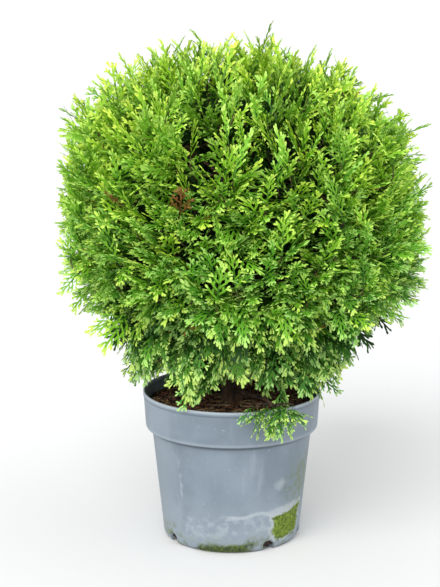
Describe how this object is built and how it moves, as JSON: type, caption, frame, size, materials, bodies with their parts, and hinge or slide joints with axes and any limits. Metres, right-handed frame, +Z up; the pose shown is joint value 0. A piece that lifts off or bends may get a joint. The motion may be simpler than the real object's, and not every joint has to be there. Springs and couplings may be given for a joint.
{
  "type": "potted thuja",
  "caption": "Globe thuja in a round grey nursery pot: a dense ball of evergreen sprays on a short hidden stem.",
  "frame": {"origin": "middle of the pot's flat underside, where the pot stands on the ground", "axes": "+Z up along the pot's axis, -Y towards the viewer of the picture, +X to the viewer's right"},
  "size_m": [0.3591, 0.3654, 0.5141],
  "materials": {
    "pot_plastic": "satin",
    "soil": "matte",
    "mulch": "matte",
    "bark": "matte",
    "leaf_top": "matte",
    "leaf_upper": "matte",
    "leaf_middle": "matte",
    "leaf_lower": "matte"
  },
  "bodies": {
    "root": {"pot": "pot_plastic", "soil": "soil", "bark_mulch": "mulch", "trunk": "bark", "bough_upper_1": "bark", "bough_upper_2": "bark", "bough_upper_3": "bark", "bough_upper_4": "bark", "bough_upper_5": "bark", "bough_middle_1": "bark", "bough_middle_2": "bark", "bough_middle_3": "bark", "bough_middle_4": "bark", "bough_middle_5": "bark", "bough_middle_6": "bark", "bough_middle_7": "bark", "bough_lower_1": "bark", "bough_lower_2": "bark", "bough_lower_3": "bark", "bough_lower_4": "bark", "bough_lower_5": "bark", "bough_lower_6": "bark", "bough_hanging_front": "bark", "foliage_top": "leaf_top", "foliage_upper_1": "leaf_upper", "foliage_upper_2": "leaf_upper", "foliage_upper_3": "leaf_upper", "foliage_upper_4": "leaf_upper", "foliage_upper_5": "leaf_upper", "foliage_middle_1": "leaf_middle", "foliage_middle_2": "leaf_middle", "foliage_middle_3": "leaf_middle", "foliage_middle_4": "leaf_middle", "foliage_middle_5": "leaf_middle", "foliage_middle_6": "leaf_middle", "foliage_middle_7": "leaf_middle", "foliage_lower_1": "leaf_lower", "foliage_lower_2": "leaf_lower", "foliage_lower_3": "leaf_lower", "foliage_lower_4": "leaf_lower", "foliage_lower_5": "leaf_lower", "foliage_lower_6": "leaf_lower", "foliage_hanging_front": "leaf_lower"}
  },
  "joints": []
}
